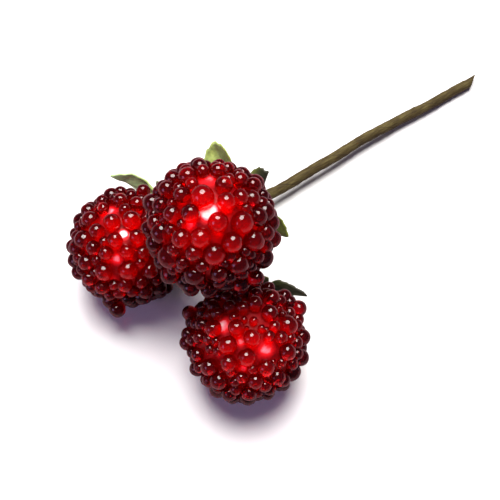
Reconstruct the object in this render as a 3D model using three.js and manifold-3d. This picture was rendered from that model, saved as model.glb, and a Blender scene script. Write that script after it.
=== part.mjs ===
// Spray of three artificial raspberries on one tape-wrapped wire stem, lying on a flat surface.
// Millimetres, +Z up. +X runs along the stem, from the berries to its cut end. The origin is the
// middle of the bounding box, on the surface that the spray lies on.

import * as THREE from 'three';
import { mergeVertices } from 'three/addons/utils/BufferGeometryUtils.js';
import Module from 'manifold-3d';

const wasm = await Module();
wasm.setup();

// Driving dimensions
const CORE_INSET = 2.4;          // from the outside of the beads down to the foam ball
const FIT_GAP = 0.3;             // clearance between neighbouring pieces
const FILM_THICKNESS = 0.4;      // dried glue that holds the beads together
const BEAD_COUNT = 80;
const BEAD_RADIUS_MIN = 1.5;
const BEAD_RADIUS_MAX = 2.1;
const BEAD_SWELL = 1.06;         // corner radius of a faceted bead over the round bead's radius
const FOOT_DROP = 0.45;          // how much further out the bead that a berry rests on stands
const BEAD_SPREAD = 1.3;         // distance at which settled beads stop pushing, in radii sums
const BEAD_ROUNDS = 160;
const BEAD_PUSH = 0.25;          // share of an overlap that each of two beads gives way in a round
const BARE_PUSH = 0.5;           // share of an overlap with a bare spot that a bead gives way
const PUNCH_WIDTH = 0.6;         // radius of the hole in the glue over the radius of its bare spot
const PUNCH_SIDES = 8;
const BALL_DETAIL = 2;           // facets of the foam ball and of the glue round it
const WIRE_RADIUS = 0.4;
const WIRE_HOLE_RADIUS = WIRE_RADIUS + FIT_GAP + 0.05;
const WIRE_STEPS = 14;
const WIRE_SIDES = 6;
const BACK_BARE_ANGLE = 12;      // degrees round the wire where there are no beads
const WIRE_DEPTH_IN_CORE = 6;
const WIRE_GUIDE_DEPTH = 2;      // depth in the foam up to which the wire is held straight
const WIRE_IN_BINDING = 3;       // length of a wire's end inside the binding
const STEM_RADIUS = 1.08;
const STEM_LIFT = 0.06;          // room between the lying end of the stem and the surface
const STEM_STEPS = 22;
const STEM_SIDES = 8;
const BINDING_RADIUS = 1.72;     // the taped knot where the three wires come together
const BINDING_LENGTH = 4.5;
const BINDING_TAPER = 4.5;
const BINDING_START = new THREE.Vector3(11.5, 11.0, 4.4);
const WIRE_PITCH = 0.64;         // from the binding's axis to each wire's axis
const CUT_ANGLE = 55;            // degrees, slant of the cut end of the stem
const CUT_SIZE = 10;             // a block larger than the stem's end, which it cuts off
const CUT_MIDDLE = new THREE.Vector3(77.0, 12.1, 1.1);
const SEPAL_COUNT = 5;
const SEPAL_THICKNESS = 0.6;
const SEPAL_TAPER = 1.3;         // above 1 a sepal's sides bulge, below 1 they are hollow
const CALYX_HOLE_RADIUS = WIRE_HOLE_RADIUS;
const CALYX_NOTCH_RADIUS = 4.2;
const TOOTH_DEPTH = 0.9;
const STEPS_PER_SEPAL = 10;
const CALYX_RINGS = [0, 0.45, 1];
const CALYX_OFFSET = 0.9;        // from the outside of the beads back to the calyx
const GROUND_WIDTH = 40;         // a block wider than a berry, which cuts off what is under the surface
const GROUND_DEPTH = 10;
const MERGE_DISTANCE = 1e-4;     // corners nearer than this are one
const TINY = 1e-6;

const FRUIT_RED = 0x8a0812;
const FOAM_WHITE = 0xf1d9d4;
const LEAF_GREEN = 0x8b9638;
const TAPE_BROWN = 0x6a5830;
const WIRE_BROWN = 0x57492f;

// Each berry: centre and outer radius over the beads, the direction in which its wire leaves,
// its sepals as [turn about the wire in degrees, length, bend round the berry in 1/mm],
// bare spots as directions from the centre with an angular radius in degrees, the route of its
// wire from the calyx to the binding, and the wire's place in the binding in degrees.
const BERRIES = [
  {
    name: 'middle',
    centre: [0, 0, 29.3],
    radius: 12.0,
    seed: 11,
    back: [0.635, 0.352, -0.691],
    sepals: [[50, 13, 0.011], [110, 9.6, 0.025], [183, 11.3, 0.022], [255, 12, 0.055], [332, 14, 0.05]],
    bareSpots: [
      { direction: [-0.14, -0.17, 0.98], radius: 9 },
      { direction: [-0.51, -0.14, 0.85], radius: 8 },
      { direction: [0.16, 0.30, 0.94], radius: 8 },
    ],
    wireRoute: [[9.6, 7.2, 14.5], [9.2, 10.2, 8.8]],
    wirePlace: 90,
  },
  {
    name: 'left',
    centre: [-12.65, 12.36, 11.5],
    radius: 11.85,
    seed: 23,
    back: [0.869, 0.348, -0.352],
    sepals: [[26.5, 14.3, 0.053], [78, 10.5, 0.05], [150, 12, 0.05], [230, 10.5, 0.08], [298, 10.5, 0.08]],
    bareSpots: [
      { direction: [0.05, -0.26, 0.96], radius: 8 },
      { direction: [-0.02, 0.28, 0.96], radius: 8 },
      { direction: [-0.25, -0.55, 0.80], radius: 8 },
    ],
    wireRoute: [[3.0, 16.6, 6.0], [7.6, 13.4, 5.2]],
    wirePlace: 330,
  },
  {
    name: 'right',
    centre: [-3.19, -16.02, 11.45],
    radius: 11.8,
    seed: 37,
    back: [0.582, 0.724, -0.372],
    sepals: [[34, 12, 0.06], [100, 7.8, 0.08], [165, 11.3, 0.036], [240, 9, 0.08], [312, 9.5, 0.08]],
    bareSpots: [
      { direction: [-0.30, 0.06, 0.95], radius: 11 },
      { direction: [0.13, -0.53, 0.84], radius: 8 },
      { direction: [-0.42, -0.57, 0.71], radius: 8 },
    ],
    wireRoute: [[6.2, -3.0, 4.7], [8.0, 4.0, 4.4], [9.2, 8.8, 4.7]],
    wirePlace: 210,
  },
];

// Middle line of the taped stem, sagging from the binding until it lies on the surface
const STEM_ROUTE = [
  [21.1, 11.0, 3.3],
  [34.8, 11.4, 2.9],
  [48.1, 12.0, 2.4],
  [62.0, 11.8, 1.7],
  [79.5, 11.9, STEM_RADIUS + STEM_LIFT],
];

const vec = (xyz) => new THREE.Vector3(...xyz);
const radians = THREE.MathUtils.degToRad;

function seededRandom(seed) {
  let state = seed >>> 0;
  return () => {
    state = (state + 0x6d2b79f5) >>> 0;
    let t = state;
    t = Math.imul(t ^ (t >>> 15), t | 1);
    t ^= t + Math.imul(t ^ (t >>> 7), t | 61);
    return ((t ^ (t >>> 14)) >>> 0) / 4294967296;
  };
}

// A closed geometry as a solid that can be joined and cut
function solidOf(geometry) {
  const plain = geometry.clone();
  plain.deleteAttribute('normal');
  plain.deleteAttribute('uv');
  const merged = mergeVertices(plain, MERGE_DISTANCE);
  return new wasm.Manifold(new wasm.Mesh({
    numProp: 3,
    vertProperties: new Float32Array(merged.attributes.position.array),
    triVerts: new Uint32Array(merged.index.array),
  }));
}

// The largest body of a solid, without the slivers that a cut can leave
function largestBody(solid) {
  const bodies = solid.decompose();
  return bodies.reduce((best, body) => (body.volume() > best.volume() ? body : best));
}

function geometryOf(solid) {
  const mesh = largestBody(solid).getMesh();
  const geometry = new THREE.BufferGeometry();
  const positions = new Float32Array(mesh.numVert * 3);
  for (let v = 0; v < mesh.numVert; v += 1) {
    for (let k = 0; k < 3; k += 1) {
      positions[3 * v + k] = mesh.vertProperties[mesh.numProp * v + k];
    }
  }
  geometry.setAttribute('position', new THREE.BufferAttribute(positions, 3));
  geometry.setIndex(new THREE.BufferAttribute(new Uint32Array(mesh.triVerts), 1));
  geometry.computeVertexNormals();
  return geometry;
}

// Round tube along a curve, its radius a function of the distance along it, closed by flat ends
function tube(curve, radiusAt, steps, sides) {
  const frames = curve.computeFrenetFrames(steps, false);
  const length = curve.getLength();
  const positions = [];
  const index = [];
  for (let i = 0; i <= steps; i += 1) {
    const point = curve.getPointAt(i / steps);
    const radius = radiusAt((length * i) / steps);
    for (let j = 0; j < sides; j += 1) {
      const angle = (2 * Math.PI * j) / sides;
      const rim = point.clone()
        .addScaledVector(frames.normals[i], radius * Math.cos(angle))
        .addScaledVector(frames.binormals[i], radius * Math.sin(angle));
      positions.push(rim.x, rim.y, rim.z);
    }
  }
  for (let i = 0; i < steps; i += 1) {
    for (let j = 0; j < sides; j += 1) {
      const a = i * sides + j;
      const b = i * sides + ((j + 1) % sides);
      index.push(a, b, a + sides);
      index.push(b, b + sides, a + sides);
    }
  }
  for (let j = 1; j < sides - 1; j += 1) {
    const last = steps * sides;
    index.push(0, j + 1, j);
    index.push(last, last + j, last + j + 1);
  }
  const geometry = new THREE.BufferGeometry();
  geometry.setAttribute('position', new THREE.Float32BufferAttribute(positions, 3));
  geometry.setIndex(index);
  return geometry;
}

function ball(radius, detail, centre) {
  const geometry = new THREE.IcosahedronGeometry(radius, detail);
  geometry.translate(centre.x, centre.y, centre.z);
  return solidOf(geometry);
}

// Beads spread over a ball: each pushes its neighbours and the bare spots away until they settle
function settleBeads(berry) {
  const random = seededRandom(berry.seed);
  const back = vec(berry.back).normalize();
  const bare = berry.bareSpots.map((spot) => ({
    direction: vec(spot.direction).normalize(),
    reach: radians(spot.radius),
  }));
  bare.push({ direction: back, reach: radians(BACK_BARE_ANGLE) });
  // The lowest bead stands on a corner, so that the surface cuts an even five-sided flat from it
  const cornerUp = Math.atan(2 / (1 + Math.sqrt(5)));
  const beads = [{
    direction: new THREE.Vector3(0, 0, -1),
    radius: BEAD_RADIUS_MAX,
    spin: new THREE.Euler(cornerUp, 0, 0),
    fixed: true,
  }];
  while (beads.length < BEAD_COUNT) {
    const z = 2 * random() - 1;
    const turn = 2 * Math.PI * random();
    const flat = Math.sqrt(1 - z * z);
    beads.push({
      direction: new THREE.Vector3(flat * Math.cos(turn), flat * Math.sin(turn), z),
      radius: THREE.MathUtils.lerp(BEAD_RADIUS_MIN, BEAD_RADIUS_MAX, random()),
      spin: new THREE.Euler(Math.PI * random(), Math.PI * random(), Math.PI * random()),
      fixed: false,
    });
  }
  for (let round = 0; round < BEAD_ROUNDS; round += 1) {
    const pushes = beads.map(() => new THREE.Vector3());
    for (let i = 0; i < beads.length; i += 1) {
      for (let j = 0; j < i; j += 1) {
        const apart = beads[i].direction.clone().sub(beads[j].direction);
        const reach = (BEAD_SPREAD * (beads[i].radius + beads[j].radius)) / berry.radius;
        const distance = apart.length();
        if (distance < reach) {
          apart.multiplyScalar((BEAD_PUSH * (reach - distance)) / Math.max(distance, TINY));
          pushes[i].add(apart);
          pushes[j].sub(apart);
        }
      }
      for (const spot of bare) {
        const apart = beads[i].direction.clone().sub(spot.direction);
        const reach = spot.reach + beads[i].radius / berry.radius;
        const distance = apart.length();
        if (distance < reach) {
          const share = (BARE_PUSH * (reach - distance)) / Math.max(distance, TINY);
          pushes[i].addScaledVector(apart, share);
        }
      }
    }
    beads.forEach((bead, i) => {
      if (!bead.fixed) {
        bead.direction.add(pushes[i]).normalize();
      }
    });
  }
  return beads;
}

// Red beads in a skin of dried glue: one body, open at the back for the wire and at the bare spots
function makeBeads(berry, wireHole) {
  const centre = vec(berry.centre);
  const inner = berry.radius - CORE_INSET + FIT_GAP;
  const film = ball(inner + FILM_THICKNESS, BALL_DETAIL, centre);
  const beads = settleBeads(berry).map((bead) => {
    const geometry = new THREE.IcosahedronGeometry(BEAD_SWELL * bead.radius, 0);
    geometry.applyQuaternion(new THREE.Quaternion().setFromEuler(bead.spin));
    geometry.applyQuaternion(new THREE.Quaternion().setFromUnitVectors(
      new THREE.Vector3(0, 0, 1), bead.direction));
    const away = berry.radius - bead.radius + (bead.fixed ? FOOT_DROP : 0);
    const place = centre.clone().addScaledVector(bead.direction, away);
    geometry.translate(place.x, place.y, place.z);
    return solidOf(geometry);
  });
  let layer = wasm.Manifold.union([film, ...beads]);
  layer = layer.subtract(ball(inner, BALL_DETAIL, centre)).subtract(wireHole);
  for (const spot of berry.bareSpots) {
    const width = PUNCH_WIDTH * inner * Math.tan(radians(spot.radius));
    const direction = vec(spot.direction).normalize();
    const punch = new THREE.CylinderGeometry(width, width, berry.radius, PUNCH_SIDES);
    punch.applyQuaternion(new THREE.Quaternion().setFromUnitVectors(
      new THREE.Vector3(0, 1, 0), direction));
    const place = centre.clone().addScaledVector(direction, berry.radius);
    punch.translate(place.x, place.y, place.z);
    layer = layer.subtract(solidOf(punch));
  }
  const ground = new THREE.BoxGeometry(GROUND_WIDTH, GROUND_WIDTH, GROUND_DEPTH);
  ground.translate(centre.x, centre.y, -GROUND_DEPTH / 2);
  return geometryOf(layer.subtract(solidOf(ground)));
}

function makeCore(berry, wireHole) {
  const core = ball(berry.radius - CORE_INSET, BALL_DETAIL, vec(berry.centre));
  return geometryOf(core.subtract(wireHole));
}

// Five fabric sepals cut as one star with toothed edges, threaded on the wire.
// Its shell is two grids of rings, half a thickness to either side of its middle. A ring's radius
// grows from the wire hole to the star's outline, and the cloth bends round the berry as it goes out.
function makeCalyx(berry) {
  const back = vec(berry.back).normalize();
  const across = new THREE.Vector3(0, 0, 1).cross(back).normalize();
  const along = back.clone().cross(across);
  const middle = vec(berry.centre).addScaledVector(back, berry.radius + CALYX_OFFSET);
  const count = SEPAL_COUNT * STEPS_PER_SEPAL;
  const positions = [];
  for (const side of [0, 1]) {
    for (const fraction of CALYX_RINGS) {
      for (let i = 0; i < count; i += 1) {
        const place = i / STEPS_PER_SEPAL;
        const before = berry.sepals[Math.floor(place)];
        const after = berry.sepals[(Math.floor(place) + 1) % SEPAL_COUNT];
        const between = place % 1;
        const gap = (after[0] - before[0] + 360) % 360;
        const turn = radians(before[0] + gap * between);
        const blend = 0.5 - 0.5 * Math.cos(Math.PI * between);
        const bend = THREE.MathUtils.lerp(before[2], after[2], blend);
        const tip = between < 0.5 ? before[1] : after[1];
        const fromRib = Math.min(between, 1 - between);
        const taper = 1 - Math.pow(2 * fromRib, SEPAL_TAPER);
        const tooth = i % 2 === 1 ? TOOTH_DEPTH : 0;
        const edge = CALYX_NOTCH_RADIUS + (tip - CALYX_NOTCH_RADIUS - tooth) * taper;
        const reach = THREE.MathUtils.lerp(CALYX_HOLE_RADIUS, edge, fraction);
        const outward = across.clone().multiplyScalar(Math.cos(turn))
          .addScaledVector(along, Math.sin(turn));
        const angle = bend * reach;
        const half = SEPAL_THICKNESS * (side - 0.5);
        const point = middle.clone()
          .addScaledVector(outward, Math.sin(angle) / bend + half * Math.sin(angle))
          .addScaledVector(back, (Math.cos(angle) - 1) / bend + half * Math.cos(angle));
        positions.push(point.x, point.y, point.z);
      }
    }
  }
  const index = [];
  const rings = CALYX_RINGS.length;
  const quad = (a, b, c, d) => index.push(a, b, c, a, c, d);
  for (let i = 0; i < count; i += 1) {
    const next = (i + 1) % count;
    for (let ring = 0; ring < rings - 1; ring += 1) {
      const low = ring * count;
      const high = low + count;
      const far = rings * count;
      quad(low + next, high + next, high + i, low + i);
      quad(far + low + i, far + high + i, far + high + next, far + low + next);
    }
    const rim = (rings - 1) * count;
    const far = rings * count;
    quad(rim + i, rim + next, far + rim + next, far + rim + i);
    quad(next, i, far + i, far + next);
  }
  const geometry = new THREE.BufferGeometry();
  geometry.setAttribute('position', new THREE.Float32BufferAttribute(positions, 3));
  geometry.setIndex(index);
  geometry.computeVertexNormals();
  return geometry;
}

// Route of a berry's wire: straight out of the foam ball, through the calyx, into the binding
function wireCurve(berry, startDepth) {
  const centre = vec(berry.centre);
  const back = vec(berry.back).normalize();
  const coreRadius = berry.radius - CORE_INSET;
  const place = radians(berry.wirePlace);
  const bound = BINDING_START.clone()
    .add(new THREE.Vector3(0, WIRE_PITCH * Math.cos(place), WIRE_PITCH * Math.sin(place)));
  return new THREE.CatmullRomCurve3([
    centre.clone().addScaledVector(back, coreRadius - startDepth),
    centre.clone().addScaledVector(back, coreRadius - WIRE_GUIDE_DEPTH),
    centre.clone().addScaledVector(back, berry.radius + CALYX_OFFSET),
    ...berry.wireRoute.map(vec),
    bound,
    bound.clone().add(new THREE.Vector3(WIRE_IN_BINDING, 0, 0)),
  ], false, 'centripetal');
}

function makeWire(berry) {
  const curve = wireCurve(berry, WIRE_DEPTH_IN_CORE);
  return tube(curve, () => WIRE_RADIUS, WIRE_STEPS, WIRE_SIDES);
}

function makeWireHole(berry) {
  const curve = wireCurve(berry, WIRE_DEPTH_IN_CORE + FIT_GAP);
  return solidOf(tube(curve, () => WIRE_HOLE_RADIUS, WIRE_STEPS, WIRE_SIDES));
}

// Tape-wrapped bundle: a thick binding at the berries' end, then the slim stem, cut at a slant
function makeStem(wireHoles) {
  const curve = new THREE.CatmullRomCurve3(
    [BINDING_START.clone(), ...STEM_ROUTE.map(vec)], false, 'centripetal');
  const radiusAt = (distance) => THREE.MathUtils.lerp(
    BINDING_RADIUS, STEM_RADIUS,
    THREE.MathUtils.smoothstep(distance, BINDING_LENGTH, BINDING_LENGTH + BINDING_TAPER));
  let stem = solidOf(tube(curve, radiusAt, STEM_STEPS, STEM_SIDES));
  for (const hole of wireHoles) {
    stem = stem.subtract(hole);
  }
  const knife = new THREE.BoxGeometry(CUT_SIZE, CUT_SIZE, CUT_SIZE);
  knife.translate(CUT_SIZE / 2, 0, 0);
  knife.rotateZ(-radians(CUT_ANGLE));
  knife.translate(CUT_MIDDLE.x, CUT_MIDDLE.y, CUT_MIDDLE.z);
  return geometryOf(stem.subtract(solidOf(knife)));
}

function material(colour, roughness) {
  return new THREE.MeshStandardMaterial({ color: colour, roughness, metalness: 0 });
}

const beadGlass = material(FRUIT_RED, 0.08);
const foam = material(FOAM_WHITE, 0.8);
const leafCloth = material(LEAF_GREEN, 0.75);
const tape = material(TAPE_BROWN, 0.7);
const wrappedWire = material(WIRE_BROWN, 0.7);

const group = new THREE.Group();

function addPiece(name, geometry, finish) {
  const mesh = new THREE.Mesh(geometry, finish);
  mesh.name = name;
  group.add(mesh);
}

const wireHoles = BERRIES.map(makeWireHole);
BERRIES.forEach((berry, i) => {
  addPiece(`core_${berry.name}`, makeCore(berry, wireHoles[i]), foam);
  addPiece(`beads_${berry.name}`, makeBeads(berry, wireHoles[i]), beadGlass);
  addPiece(`calyx_${berry.name}`, makeCalyx(berry), leafCloth);
  addPiece(`wire_${berry.name}`, makeWire(berry), wrappedWire);
});
addPiece('stem', makeStem(wireHoles), tape);

// The spray lies centred over the origin, with its lowest points on the surface
const box = new THREE.Box3().setFromObject(group);
const middle = box.getCenter(new THREE.Vector3());
group.position.set(-middle.x, -middle.y, 0);

export default group;
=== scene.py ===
"""Spray of three beaded raspberries on one taped wire stem, dressed round its fixed frame."""
import math

import bpy
import numpy as np
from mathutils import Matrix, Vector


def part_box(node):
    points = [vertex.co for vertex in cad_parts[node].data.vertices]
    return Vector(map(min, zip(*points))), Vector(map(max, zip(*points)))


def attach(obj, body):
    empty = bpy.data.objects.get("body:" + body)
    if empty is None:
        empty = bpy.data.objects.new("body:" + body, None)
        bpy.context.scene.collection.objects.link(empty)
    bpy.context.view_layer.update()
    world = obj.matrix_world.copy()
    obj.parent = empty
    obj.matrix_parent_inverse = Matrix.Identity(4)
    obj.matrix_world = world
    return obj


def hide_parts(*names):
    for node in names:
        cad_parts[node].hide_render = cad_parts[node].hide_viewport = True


bl_info = {
    "name": "Beaded Raspberry Spray",
    "version": (1, 0, 0),
    "blender": (4, 5, 0),
    "location": "3D View > Sidebar > Raspberry",
    "description": "Glass beads, foam balls, cloth calyxes and taped wire of a craft raspberry spray",
    "category": "Object",
}

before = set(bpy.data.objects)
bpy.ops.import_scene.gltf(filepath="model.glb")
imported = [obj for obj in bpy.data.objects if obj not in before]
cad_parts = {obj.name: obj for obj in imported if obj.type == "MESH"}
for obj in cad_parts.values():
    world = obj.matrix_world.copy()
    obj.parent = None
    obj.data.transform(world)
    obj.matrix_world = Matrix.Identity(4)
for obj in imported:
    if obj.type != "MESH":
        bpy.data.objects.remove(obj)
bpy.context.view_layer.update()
MM = 0.001

# The camera that the berries and the stem were measured with
PHOTO_SIZE = 500
PHOTO_FOCAL = 767.0
SENSOR_WIDTH = 36.0
CAMERA_AZIMUTH = math.radians(-32.26)
CAMERA_ELEVATION = math.radians(66.0)
VIEW_BACK = np.array((
    math.sin(CAMERA_AZIMUTH) * math.cos(CAMERA_ELEVATION),
    -math.cos(CAMERA_AZIMUTH) * math.cos(CAMERA_ELEVATION),
    math.sin(CAMERA_ELEVATION),
))
VIEW_RIGHT = np.array((math.cos(CAMERA_AZIMUTH), math.sin(CAMERA_AZIMUTH), 0.0))
VIEW_UP = np.cross(VIEW_BACK, VIEW_RIGHT)

# The middle berry's core gives the place of the source's own origin in this frame
MIDDLE_HEIGHT = 29.3 * MM
CORE_BOX = [np.array(corner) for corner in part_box("core_middle")]
SOURCE_ORIGIN = (CORE_BOX[0] + CORE_BOX[1]) / 2 - np.array((0, 0, MIDDLE_HEIGHT))
CAMERA_PLACE = SOURCE_ORIGIN + np.array((-25.22, -52.31, 148.3)) * MM

# Beads
# The side of a bead that is painted lighter, a painted glow where the lamp's light would leave it: level and
# away from the lamp, in the photo's axes
PAINTED_GLOW_SIDE = 0.35 * VIEW_BACK - 0.95 * VIEW_UP + 0.1 * VIEW_RIGHT
# The painted glow is strongest on beads this near a bare spot, and gone by the far angle
PAINTED_GLOW_NEAR, PAINTED_GLOW_FAR = math.radians(14), math.radians(62)  # a bead is lit from a bare spot this near
CAGE_SWELL = 1.19         # a ball cage's size over the size of the ball that it rounds to
BEAD_OVAL = 0.05          # how far a bead is from round, in radii
BEAD_ROUNDING = 2         # subdivision levels of a bead's cage
DROP_ROUNDING = 1
NEAR_SIDE = 0.6           # how far in front of its middle a berry was measured, in radii
BEAD_LAYER = 1.4 * MM     # from the outside of the beads in to their middles, where they push
BEAD_PUSH = 0.25          # share of an overlap that a bead gives way in a round
BARE_PUSH = 0.5           # share of an overlap with a bare spot that a bead gives way in a round
SEEN_LOOSENESS = 0.12     # how freely a bead that the photo shows moves
SEEN_HOLD = 0.2           # share of the way back to its photo place in a round
FAR_SIDE = 0.1            # cosine towards the camera below which a bead is strewn at random
SEEN_STAND_OUT = 1.9 * MM  # how much further out a bead that the photo shows may stand
TONE_SPREAD = 0.18        # spread of the beads' own tones
# A bead's tone: the least, its own share, and a painted glow on its side away from the lamp, weak in the
# dark and strong near a bare spot
TONE_LEAST = 0.25         # tone of a bead's dark side
TONE_OWN = 0.5            # how much of its own tone a bead shows
PAINTED_GLOW_LEAST, PAINTED_GLOW_BY_BARE = 0.12, 0.95  # how much lighter its light side is, in the dark and near a bare spot
FILLER_TRIES = 6000
FILLER_BARE_REACH = 1.4   # fillers keep off this many radii of a bare spot

# Glue drops
DROP_SMALLEST, DROP_LARGEST = 0.12, 0.34       # radii in mm
DROP_LOWEST, DROP_RANGE = 0.25 * MM, 1.1 * MM  # least height over the foam, and how much it varies
DROP_SINK = 0.1 * MM      # how far a drop's middle may be inside a bead
DROP_TONE = 0.8
BARE_CLEAR_ANGLE = math.radians(16)  # no drops this near the middle of a bare spot

# Foam balls
FOAM_ROWS, FOAM_COLUMNS = 61, 96
FOAM_LUMPS = ((0.06, 2.2 * MM), (0.035, 0.9 * MM))  # height in mm and wavelength
# The foam's stain rises away from a bare spot to a dark red that is painted shade under the beads
STAIN_LEAST, STAIN_MORE = 0.28, 0.62  # stain in a bare spot, and how much more there is away from it
STAIN_RISE = (0.3, 2.0)   # from the middle of a bare spot, in its radii
CLEAN_FADE = (0.5, 1.4)
STAIN_WAVES, STAIN_WAVELENGTH = 0.12, 5 * MM

# Calyxes
CALYX_OFFSET = 0.9 * MM   # from the outside of the beads back to the cloth
CALYX_HOLE = 0.75 * MM    # radius of the hole for the wire
CALYX_NOTCH = 4.2 * MM    # from the wire to the notch between two sepals
SEPAL_COLUMNS = 32
SEPAL_RINGS = 20
SEPAL_TEETH = 10          # teeth in the space between two ribs
TOOTHLESS = 0.04          # share of that space at a rib that has none
RING_POWER = 0.9          # below 1, the rings are closer together at the edge
FOLD_RISE = (0.15, 0.8)   # where the fold starts and is full, from the hole to the edge
NOTCH_FADE = (0.5, 0.32)  # fold and twist fade towards the notch between these places
FOLD_SHARE = 0.35         # how much of its width a sepal's edge rises for a fold of 1
TWIST_SHARE = 1.2         # how much of its length a sepal's edges tilt for a twist of 1
RIPPLE_HEIGHT, RIPPLE_LENGTH = 0.16 * MM, 3.2 * MM

# Wires
WIRE_HOLE_ANGLE = math.radians(12)
WIRE_CORE_DEPTH = 2.4 * MM
WIRE_IN_CORE = (6 * MM, 2 * MM)  # how deep in the foam a wire ends, and where it is still straight
WIRE_PITCH = 0.64 * MM    # from the middle of the binding to the middle of each wire in it
WIRE_OVERLAP = 3 * MM     # how far a wire runs on inside the binding
WIRE_UP = (0.3, -0.9, 0.2)
WIRE_STEPS, WIRE_COLUMNS = 160, 14

# Stem, its places in millimetres of the source
BINDING_START = (11.5, 11.0, 4.4)
STEM_ROUTE = (
    (21.1, 11.0, 3.3), (34.8, 11.4, 2.9), (48.1, 12.0, 2.4), (62.0, 11.8, 1.7), (79.5, 11.9, 1.14),
)
STEM_STEPS, STEM_COLUMNS = 420, 28
BINDING_END = (4.5 * MM, 9 * MM)  # where the binding starts and stops getting slimmer
STEM_TAPER = 0.1          # how much slimmer the stem is at its end
TIP_TAPER, TIP_LENGTH = 0.35, 1.2 * MM  # how the binding narrows at its start
STEM_WRINKLE, STEM_WRINKLE_LENGTH = 0.03 * MM, 1.6 * MM
CUT_MIDDLE = (77.0, 12.1, 1.1)
CUT_SLANT = math.radians(55)
CUT_STEEPEST = 0.2        # least cosine between the stem and the cut's face
CUT_BLUNTNESS = 0.95 * MM  # how far the cut's point may reach past its middle
STEM_LIFT = 0.01 * MM     # least height over the surface
TAPE_PHASE = 0.85         # where the tape's edge starts, in turns

# Stage
FLOOR_RADIUS = 0.6        # metres, as all of the stage's lengths
FLOOR_CORNERS = 96
LAMP_TARGET = np.array((-0.028, 0.0, 0.012))
KEY_DIRECTION = (0.534 * math.cos(1.2), 0.846 * math.cos(1.2), math.sin(1.2))
KEY_DISTANCE, KEY_SIZE = 1.2, 0.9
FILL_DIRECTION = (-0.862, 0.051, 0.493)
FILL_DISTANCE, FILL_SIZE = 1.0, 0.5
NEAREST_SEEN, FARTHEST_SEEN = 0.01, 20
GLASS_BOUNCES = 16
SHADOW_LAYERS = 24

# Patterns, in repeats for a metre
STAIN_CLOUDS = 700.0
FOAM_GRAIN = 2600.0
LEAF_MOTTLE = 900.0
LEAF_SPECKS = 4200.0
LEAF_WEAVE = 420.0
TAPE_FIBRES = 3800.0
TAPE_CLOUDS = 260.0
TAPE_WRINKLES = 5200.0

# Patterns on a piece's own map
RIB_HALF_WIDTH = 0.03     # share of the space between two ribs
VEIN_WAVES = 44.0         # radians from the wire hole to the edge
VEIN_SLANT = 0.9
VEIN_LEVEL = 0.86         # height of the wave above which there is a vein
TAPE_EDGE = 0.965         # share of a turn at which the dark edge of the tape begins
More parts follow.
